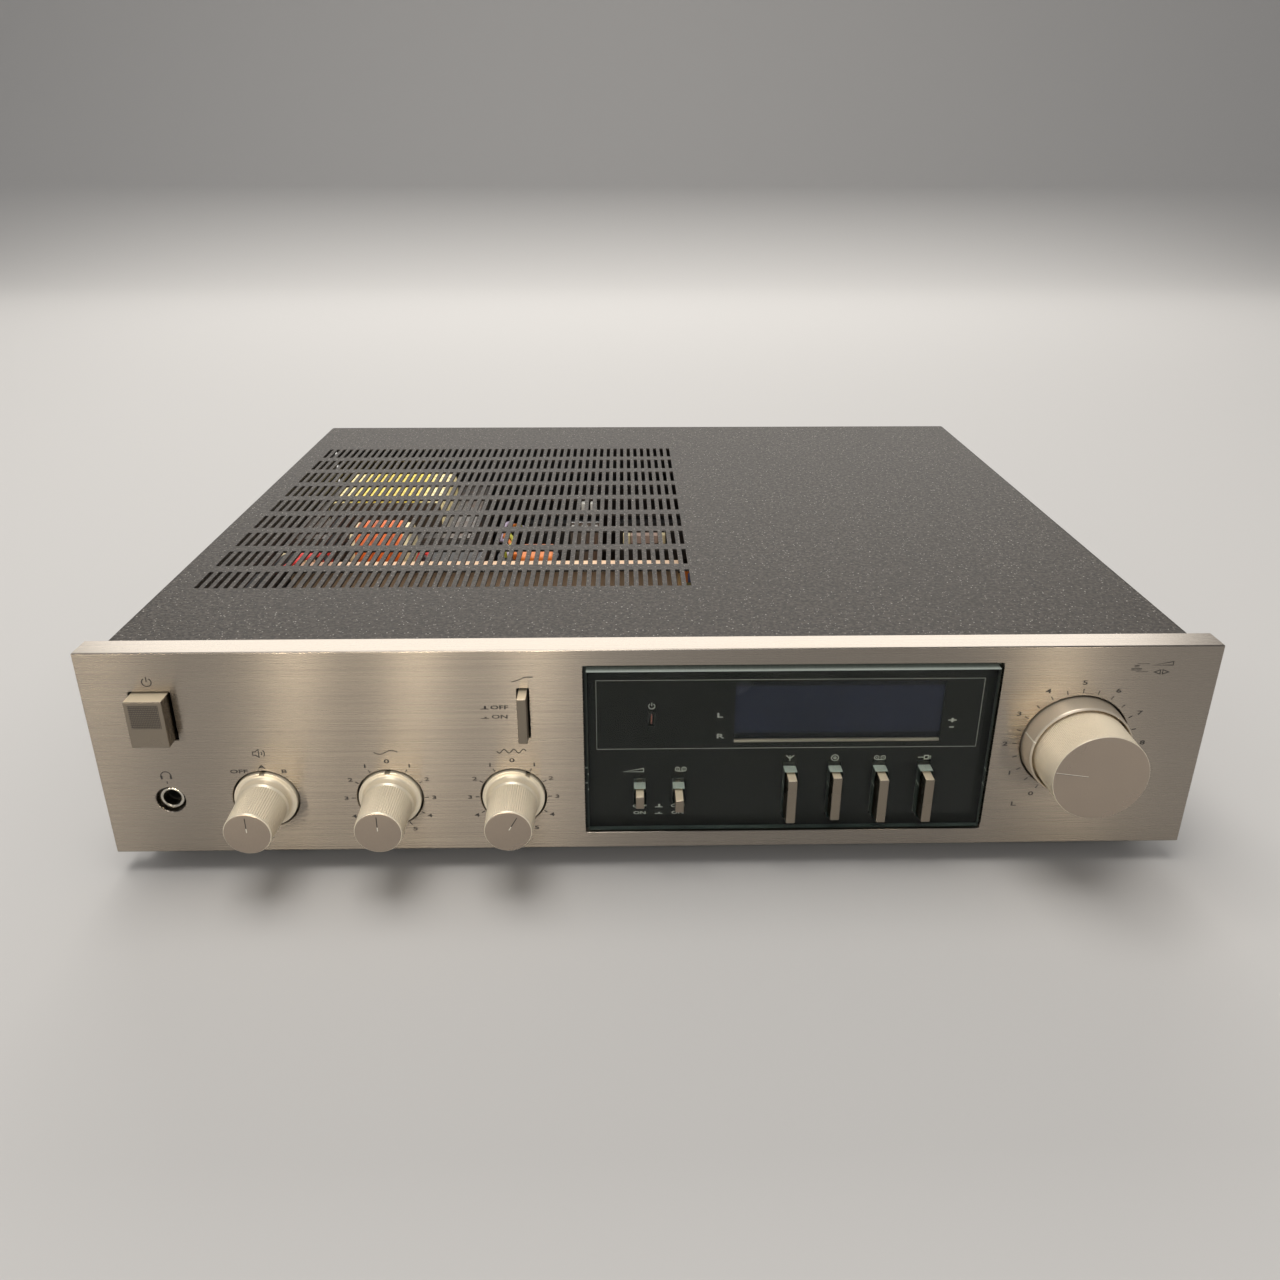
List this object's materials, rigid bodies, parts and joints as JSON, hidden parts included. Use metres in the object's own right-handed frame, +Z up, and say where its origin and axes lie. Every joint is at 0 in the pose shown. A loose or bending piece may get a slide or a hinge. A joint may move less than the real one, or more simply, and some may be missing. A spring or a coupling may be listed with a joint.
{
  "type": "integrated amplifier",
  "caption": "Low wide stereo amplifier with a brushed aluminium front, a display window, rotary tone and volume controls, push buttons and a slotted steel cover.",
  "frame": {"origin": "on the table, under the centre of the whole amplifier's box", "axes": "+X to the right seen from the front, +Y from the front panel to the rear, +Z up"},
  "size_m": [0.42, 0.3454, 0.098],
  "materials": {
    "brushed_aluminium": "champagne anodised, brushed along its length",
    "turned_aluminium": "champagne anodised, turned and knurled",
    "cover_paint": "dark warm grey textured paint",
    "zinc_steel": "zinc plated sheet",
    "shaft_steel": "turned steel",
    "black_steel": "satin black paint",
    "foot_plastic": "matt black",
    "window_glass": "polished clear pane with a green tint",
    "mask_print": "satin black print",
    "display_glass": "glossy dark blue",
    "circuit_board": "brown paper laminate",
    "indicator_red": "unlit red lens",
    "plated_brass": "nickel plated",
    "black_plastic": "moulded black",
    "switch_metal": "passivated sheet",
    "laminated_steel": "varnished laminations",
    "yellow_tape": "yellow polyester tape",
    "orange_tape": "orange polyester tape",
    "black_anodised": "black anodised, as extruded",
    "wire_sleeve": "cream wire insulation",
    "capacitor_sleeve": "blue-black shrink sleeve"
  },
  "bodies": {
    "chassis": {"front_panel": "brushed_aluminium", "top_cover": "cover_paint", "bottom_tray": "zinc_steel", "sub_panel": "black_steel", "rear_panel": "black_steel", "cover_screw_left_front": "black_steel", "cover_screw_left_rear": "black_steel", "cover_screw_right_front": "black_steel", "cover_screw_right_rear": "black_steel", "foot_front_left": "foot_plastic", "foot_front_right": "foot_plastic", "foot_rear_left": "foot_plastic", "foot_rear_right": "foot_plastic", "window_glass": "window_glass", "window_mask": "mask_print", "display_tube": "display_glass", "display_board": "circuit_board", "power_indicator": "indicator_red", "power_switch": "black_plastic", "filter_switch": "switch_metal", "mode_switches": "switch_metal", "selector_switches": "switch_metal", "headphone_socket": "plated_brass", "speaker_switch": "switch_metal", "bass_control": "switch_metal", "treble_control": "switch_metal", "volume_control": "switch_metal", "main_board": "circuit_board", "preamp_board": "circuit_board", "transformer_core": "laminated_steel", "transformer_winding": "yellow_tape", "wiring_loom": "wire_sleeve", "filter_capacitor_left": "capacitor_sleeve", "filter_capacitor_right": "capacitor_sleeve", "heat_sink": "black_anodised", "output_module_left": "black_plastic", "output_module_right": "black_plastic", "speaker_relay": "orange_tape", "input_jack_block": "plated_brass", "speaker_terminals": "black_plastic", "ground_post": "plated_brass", "cord_gland": "black_plastic"},
    "volume": {"volume_knob": "turned_aluminium", "volume_shaft": "shaft_steel"},
    "balance": {"balance_ring": "turned_aluminium", "balance_sleeve": "shaft_steel"},
    "speakers": {"speakers_knob": "turned_aluminium", "speakers_shaft": "shaft_steel"},
    "bass": {"bass_knob": "turned_aluminium", "bass_shaft": "shaft_steel"},
    "treble": {"treble_knob": "turned_aluminium", "treble_shaft": "shaft_steel"},
    "power": {"power_button": "turned_aluminium"},
    "low_cut": {"low_cut_button": "turned_aluminium"},
    "loudness": {"loudness_button": "turned_aluminium"},
    "adaptor": {"adaptor_button": "turned_aluminium"},
    "tuner": {"tuner_button": "turned_aluminium"},
    "phono": {"phono_button": "turned_aluminium"},
    "tape": {"tape_button": "turned_aluminium"},
    "aux": {"aux_button": "turned_aluminium"}
  },
  "joints": [
    {"name": "volume_turn", "type": "hinge", "parent": "chassis", "child": "volume", "pos_m": [0.1605, -0.15, 0.0565], "axis": [0, 1, 0], "range_deg": [-68.5, 231.5]},
    {"name": "balance_turn", "type": "hinge", "parent": "chassis", "child": "balance", "pos_m": [0.1605, -0.15, 0.0565], "axis": [0, 1, 0], "range_deg": [-75, 225]},
    {"name": "speakers_turn", "type": "hinge", "parent": "chassis", "child": "speakers", "pos_m": [-0.1485, -0.15, 0.0345], "axis": [0, 1, 0], "range_deg": [-30, 30]},
    {"name": "bass_turn", "type": "hinge", "parent": "chassis", "child": "bass", "pos_m": [-0.1011, -0.15, 0.0345], "axis": [0, 1, 0], "range_deg": [-150, 150]},
    {"name": "treble_turn", "type": "hinge", "parent": "chassis", "child": "treble", "pos_m": [-0.0537, -0.15, 0.0345], "axis": [0, 1, 0], "range_deg": [-180, 120]},
    {"name": "power_press", "type": "slide", "parent": "chassis", "child": "power", "axis": [0, 1, 0], "range_m": [0, 0.004]},
    {"name": "low_cut_press", "type": "slide", "parent": "chassis", "child": "low_cut", "axis": [0, 1, 0], "range_m": [0, 0.0035]},
    {"name": "loudness_press", "type": "slide", "parent": "chassis", "child": "loudness", "axis": [0, 1, 0], "range_m": [-0.0025, 0.0015]},
    {"name": "adaptor_press", "type": "slide", "parent": "chassis", "child": "adaptor", "axis": [0, 1, 0], "range_m": [0, 0.004]},
    {"name": "tuner_press", "type": "slide", "parent": "chassis", "child": "tuner", "axis": [0, 1, 0], "range_m": [0, 0.0035]},
    {"name": "phono_press", "type": "slide", "parent": "chassis", "child": "phono", "axis": [0, 1, 0], "range_m": [-0.0016, 0.0019]},
    {"name": "tape_press", "type": "slide", "parent": "chassis", "child": "tape", "axis": [0, 1, 0], "range_m": [0, 0.0035]},
    {"name": "aux_press", "type": "slide", "parent": "chassis", "child": "aux", "axis": [0, 1, 0], "range_m": [0, 0.0035]}
  ]
}
